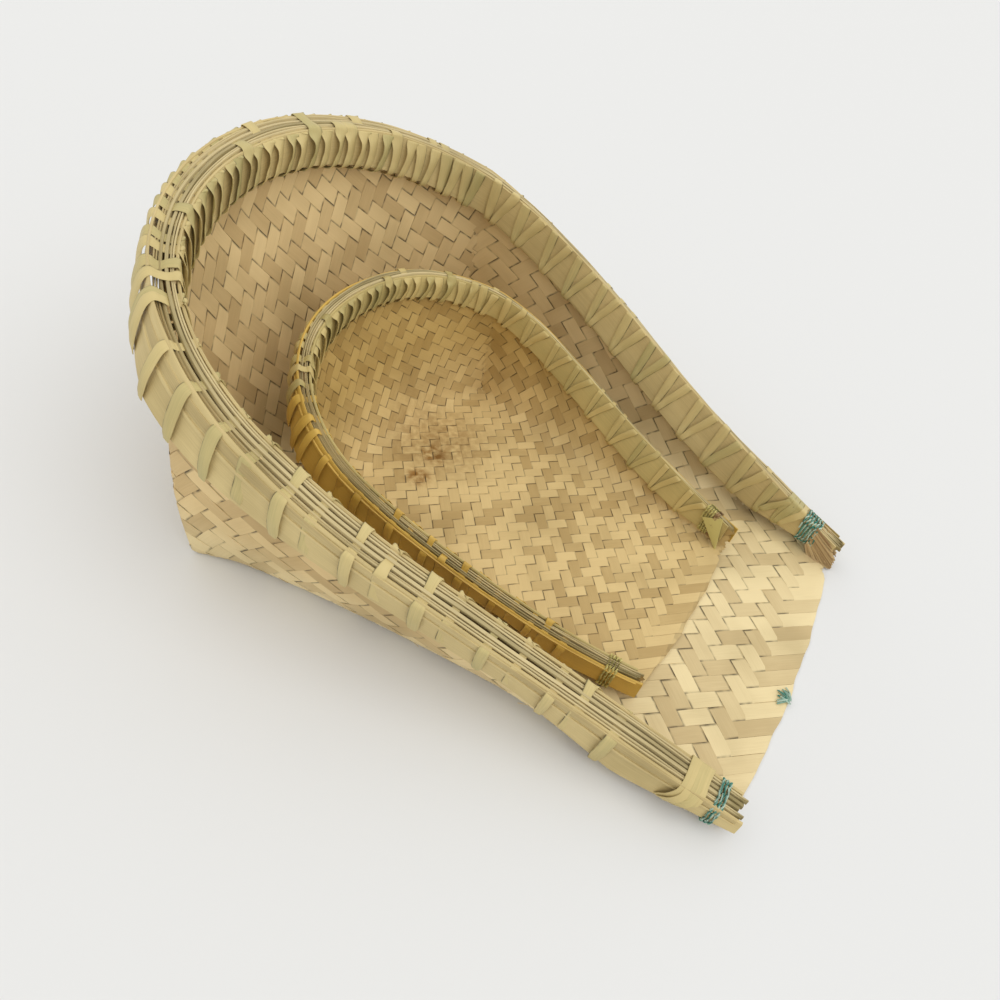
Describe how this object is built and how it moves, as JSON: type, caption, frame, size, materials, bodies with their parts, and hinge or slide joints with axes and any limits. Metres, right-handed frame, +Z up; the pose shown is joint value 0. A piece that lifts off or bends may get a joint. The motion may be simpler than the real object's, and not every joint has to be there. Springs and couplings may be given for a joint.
{
  "type": "bamboo winnowing basket set",
  "caption": "Twill-woven bamboo winnowing basket with a tall bound rim and an open mouth, holding a smaller one of the same form that lifts out.",
  "frame": {"origin": "middle of the footprint, on the surface that the large basket's floor rests on", "axes": "+Z up; -Y out of the baskets' open mouth; +Y towards the high back wall; X across"},
  "size_m": [0.2788, 0.3664, 0.1552],
  "materials": {
    "large_weave": "dry woven bamboo strip, matte",
    "large_band": "split bamboo, matte",
    "rim_splint": "split bamboo, matte",
    "large_binding": "thin bamboo strip, satin",
    "green_twine": "dyed fibre twine",
    "brown_fibre": "frayed bamboo fibre",
    "small_weave": "dry woven bamboo strip, matte",
    "small_outer_band": "bamboo skin, satin",
    "small_binding": "thin bamboo strip, satin",
    "yellow_strip": "thin bamboo strip, satin"
  },
  "bodies": {
    "root": {"large_woven_panel": "large_weave", "large_inner_band": "large_band", "large_outer_band": "large_band", "large_rim_splint_1": "rim_splint", "large_rim_splint_2": "rim_splint", "large_rim_splint_3": "rim_splint", "large_rim_splint_4": "rim_splint", "large_binding_left": "large_binding", "large_binding_back": "large_binding", "large_binding_right": "large_binding", "large_end_wrap_left": "large_binding", "large_end_wrap_right": "large_binding", "large_twine_left": "green_twine", "large_twine_right": "green_twine", "large_tip_fan_right": "brown_fibre", "large_front_tie": "green_twine"},
    "small_basket": {"small_woven_panel": "small_weave", "small_inner_band": "small_binding", "small_outer_band": "small_outer_band", "small_rim_splint_1": "rim_splint", "small_rim_splint_2": "rim_splint", "small_binding_left": "small_binding", "small_binding_back": "small_binding", "small_binding_right": "small_binding", "small_tip_tie_left": "yellow_strip", "small_tip_tie_right": "yellow_strip"}
  },
  "joints": [
    {"name": "small_basket_lift", "type": "slide", "parent": "root", "child": "small_basket", "axis": [0, 0, 1], "range_m": [0, 0.18]}
  ]
}
